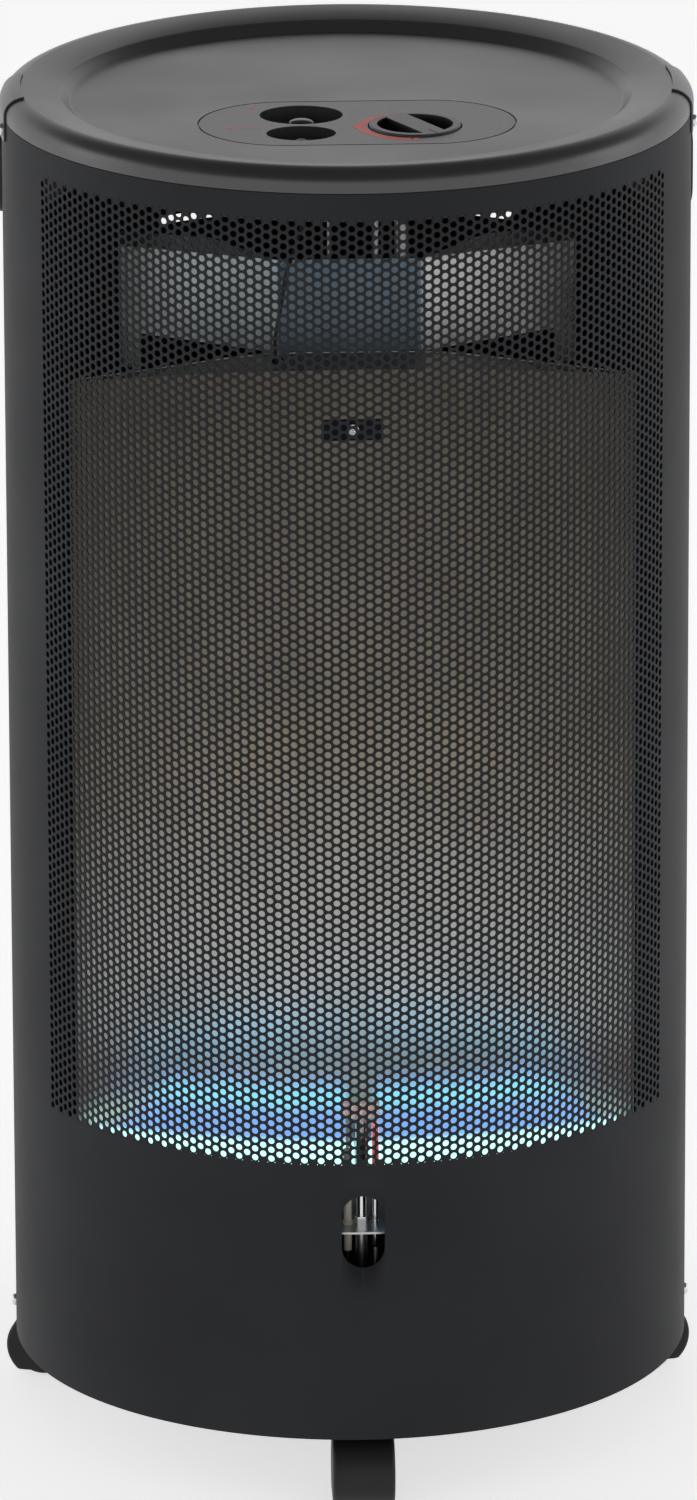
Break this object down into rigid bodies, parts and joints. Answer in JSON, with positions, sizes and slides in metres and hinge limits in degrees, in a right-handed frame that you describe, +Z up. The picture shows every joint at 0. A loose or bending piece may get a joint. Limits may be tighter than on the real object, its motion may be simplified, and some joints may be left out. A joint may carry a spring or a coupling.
{
  "type": "portable propane heater",
  "caption": "Free-standing cylindrical gas cabinet heater: perforated front, dished lid with recessed controls, hinged rear bottle door, swivel casters.",
  "frame": {"origin": "on the floor, under the centre of the cylindrical cabinet", "axes": "+Z up, the perforated front faces -Y, +X is to the right of a person who faces the heater's front"},
  "size_m": [0.4114, 0.4154, 0.8073],
  "materials": {
    "black_paint": "fine-grained satin powder coat",
    "black_gloss_paint": "smooth semi-gloss paint",
    "black_plastic": "matt moulded plastic",
    "black_gloss_plastic": "semi-gloss moulded plastic",
    "zinc_steel": "zinc-plated sheet and wire",
    "reflector_steel": "heat-tinted satin stainless sheet",
    "shield_steel": "dull galvanised sheet",
    "bright_metal": "bright nickel plate",
    "brass": "turned brass",
    "cast_aluminium": "as cast",
    "aluminium_tube": "drawn tube",
    "ceramic": "unglazed ceramic",
    "black_rubber": "silicone sleeve"
  },
  "bodies": {
    "cabinet": {"base_plate": "black_paint", "bay_partition": "zinc_steel", "burner": "shield_steel", "burner_tray": "zinc_steel", "casing_screws": "bright_metal", "caster_rings": "zinc_steel", "caster_stems": "zinc_steel", "combustion_reflector": "reflector_steel", "control_panel": "black_gloss_plastic", "door_magnets": "black_plastic", "frame_hinge_leaves": "zinc_steel", "front_shell": "black_paint", "gas_inlet_nozzle": "brass", "gas_valve": "cast_aluminium", "hinge_pins": "zinc_steel", "ignition_electrode": "ceramic", "ignition_wire": "black_rubber", "injector_holder": "brass", "lid_straps": "black_gloss_paint", "main_gas_pipe": "aluminium_tube", "piezo_igniter": "black_plastic", "pilot_burner": "bright_metal", "pilot_fitting": "zinc_steel", "pilot_gas_pipe": "aluminium_tube", "reflector_bracket": "zinc_steel", "reflector_screw": "zinc_steel", "side_grip_left": "black_plastic", "side_grip_right": "black_plastic", "side_panel_left": "black_paint", "side_panel_right": "black_paint", "thermocouple": "bright_metal", "thermocouple_lead": "aluminium_tube", "top_lid": "black_gloss_paint", "upper_heat_shield": "shield_steel", "valve_bracket": "zinc_steel"},
    "door": {"rear_door": "black_paint", "door_hinge_leaves": "zinc_steel", "door_pull": "black_plastic"},
    "knob": {"gas_knob": "black_gloss_plastic", "valve_shaft": "zinc_steel"},
    "igniter_push": {"igniter_button": "black_gloss_plastic"},
    "start_push": {"start_button": "black_gloss_plastic"},
    "caster_front": {"caster_hood_front": "black_plastic", "caster_axle_front": "zinc_steel"},
    "wheel_front_a": {"caster_wheel_front_a": "black_plastic"},
    "wheel_front_b": {"caster_wheel_front_b": "black_plastic"},
    "caster_right": {"caster_hood_right": "black_plastic", "caster_axle_right": "zinc_steel"},
    "wheel_right_a": {"caster_wheel_right_a": "black_plastic"},
    "wheel_right_b": {"caster_wheel_right_b": "black_plastic"},
    "caster_rear": {"caster_hood_rear": "black_plastic", "caster_axle_rear": "zinc_steel"},
    "wheel_rear_a": {"caster_wheel_rear_a": "black_plastic"},
    "wheel_rear_b": {"caster_wheel_rear_b": "black_plastic"},
    "caster_left": {"caster_hood_left": "black_plastic", "caster_axle_left": "zinc_steel"},
    "wheel_left_a": {"caster_wheel_left_a": "black_plastic"},
    "wheel_left_b": {"caster_wheel_left_b": "black_plastic"}
  },
  "joints": [
    {"name": "rear_door_swing", "type": "hinge", "parent": "cabinet", "child": "door", "pos_m": [-0.16694, 0.11689, 0.417], "axis": [0, 0, 1], "range_deg": [0, 110]},
    {"name": "gas_knob_turn", "type": "hinge", "parent": "cabinet", "child": "knob", "pos_m": [0.037, -0.0635, 0.79], "axis": [0, 0, 1], "range_deg": [-210, 0]},
    {"name": "igniter_press", "type": "slide", "parent": "cabinet", "child": "igniter_push", "axis": [0, 0, 1], "range_m": [-0.005, 0], "stiffness_N_per_m": 800},
    {"name": "start_press", "type": "slide", "parent": "cabinet", "child": "start_push", "axis": [0, 0, 1], "range_m": [-0.004, 0], "stiffness_N_per_m": 500},
    {"name": "caster_front_swivel", "type": "hinge", "parent": "cabinet", "child": "caster_front", "pos_m": [0, -0.168, 0.03], "axis": [0, 0, 1], "continuous": true},
    {"name": "wheel_front_a_roll", "type": "hinge", "parent": "caster_front", "child": "wheel_front_a", "pos_m": [0, -0.1865, 0.0185], "axis": [1, 0, 0], "continuous": true},
    {"name": "wheel_front_b_roll", "type": "hinge", "parent": "caster_front", "child": "wheel_front_b", "pos_m": [0, -0.1865, 0.0185], "axis": [1, 0, 0], "continuous": true},
    {"name": "caster_right_swivel", "type": "hinge", "parent": "cabinet", "child": "caster_right", "pos_m": [0.16343, 0.03893, 0.03], "axis": [0, 0, 1], "continuous": true},
    {"name": "wheel_right_a_roll", "type": "hinge", "parent": "caster_right", "child": "wheel_right_a", "pos_m": [0.18142, 0.04322, 0.0185], "axis": [-0.2317, 0.9728, 0], "continuous": true},
    {"name": "wheel_right_b_roll", "type": "hinge", "parent": "caster_right", "child": "wheel_right_b", "pos_m": [0.18142, 0.04322, 0.0185], "axis": [-0.2317, 0.9728, 0], "continuous": true},
    {"name": "caster_rear_swivel", "type": "hinge", "parent": "cabinet", "child": "caster_rear", "pos_m": [0, 0.168, 0.03], "axis": [0, 0, 1], "continuous": true},
    {"name": "wheel_rear_a_roll", "type": "hinge", "parent": "caster_rear", "child": "wheel_rear_a", "pos_m": [0, 0.1865, 0.0185], "axis": [-1, 0, 0], "continuous": true},
    {"name": "wheel_rear_b_roll", "type": "hinge", "parent": "caster_rear", "child": "wheel_rear_b", "pos_m": [0, 0.1865, 0.0185], "axis": [-1, 0, 0], "continuous": true},
    {"name": "caster_left_swivel", "type": "hinge", "parent": "cabinet", "child": "caster_left", "pos_m": [-0.16343, 0.03893, 0.03], "axis": [0, 0, 1], "continuous": true},
    {"name": "wheel_left_a_roll", "type": "hinge", "parent": "caster_left", "child": "wheel_left_a", "pos_m": [-0.18142, 0.04322, 0.0185], "axis": [-0.2317, -0.9728, 0], "continuous": true},
    {"name": "wheel_left_b_roll", "type": "hinge", "parent": "caster_left", "child": "wheel_left_b", "pos_m": [-0.18142, 0.04322, 0.0185], "axis": [-0.2317, -0.9728, 0], "continuous": true}
  ]
}
